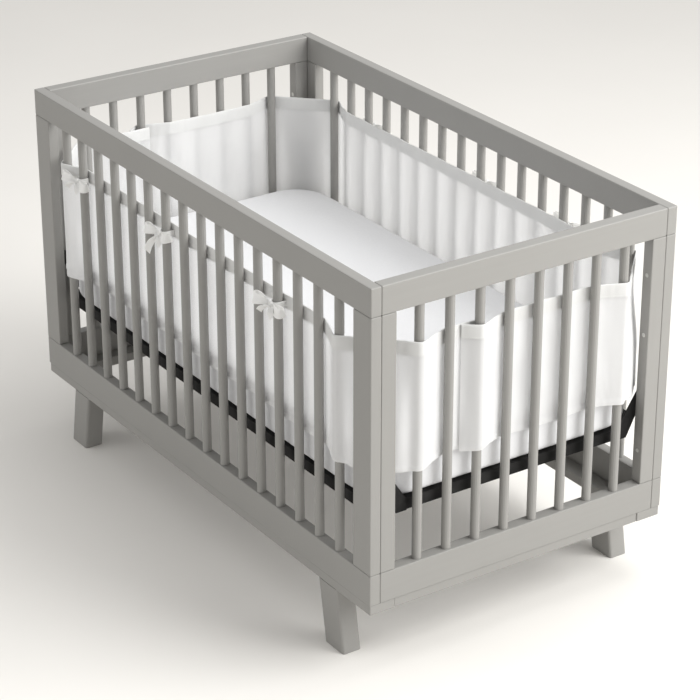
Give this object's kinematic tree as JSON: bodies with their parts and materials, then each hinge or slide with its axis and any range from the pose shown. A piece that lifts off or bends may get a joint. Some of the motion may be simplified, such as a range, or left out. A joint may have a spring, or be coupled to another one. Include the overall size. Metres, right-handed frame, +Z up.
{
  "type": "crib bumper on crib",
  "caption": "Mesh cloth crib bumper woven through the slats of a slatted crib, tied with ribbon bows, over a mattress on a steel support",
  "frame": {"origin": "on the floor under the crib's centre", "axes": "+X along the crib to its near end, +Y across to its back long side, +Z up"},
  "size_m": [1.3734, 0.7889, 0.858],
  "materials": {
    "painted_wood": "satin grey paint",
    "black_steel": "satin black",
    "sheet_cotton": "matte woven",
    "mesh_cloth": "matte open mesh",
    "binding_cloth": "matte woven",
    "ribbon_cloth": "soft satin"
  },
  "bodies": {
    "root": {"front_top_rail_slats": "painted_wood", "front_bottom_rail_slats": "painted_wood", "back_top_rail_slats": "painted_wood", "back_bottom_rail_slats": "painted_wood", "near_end_rails_slats": "painted_wood", "far_end_rails_slats": "painted_wood", "front_stile_near": "painted_wood", "front_stile_far": "painted_wood", "back_stile_near": "painted_wood", "back_stile_far": "painted_wood", "near_end_stile_front": "painted_wood", "near_end_stile_back": "painted_wood", "far_end_stile_front": "painted_wood", "far_end_stile_back": "painted_wood", "front_base_board": "painted_wood", "back_base_board": "painted_wood", "near_base_board": "painted_wood", "far_base_board": "painted_wood", "foot_near_front": "painted_wood", "foot_near_back": "painted_wood", "foot_far_front": "painted_wood", "foot_far_back": "painted_wood", "support_frame": "black_steel", "hanger_near_front": "black_steel", "hanger_near_back": "black_steel", "hanger_far_front": "black_steel", "hanger_far_back": "black_steel", "mattress": "sheet_cotton", "bumper_panel_front": "mesh_cloth", "bumper_panel_back": "mesh_cloth", "bumper_binding_front": "binding_cloth", "bumper_binding_back": "binding_cloth", "tie_front_1": "ribbon_cloth", "tie_front_2": "ribbon_cloth", "tie_front_3": "ribbon_cloth", "tie_back_1": "ribbon_cloth", "tie_back_2": "ribbon_cloth", "tie_back_3": "ribbon_cloth"}
  },
  "joints": []
}
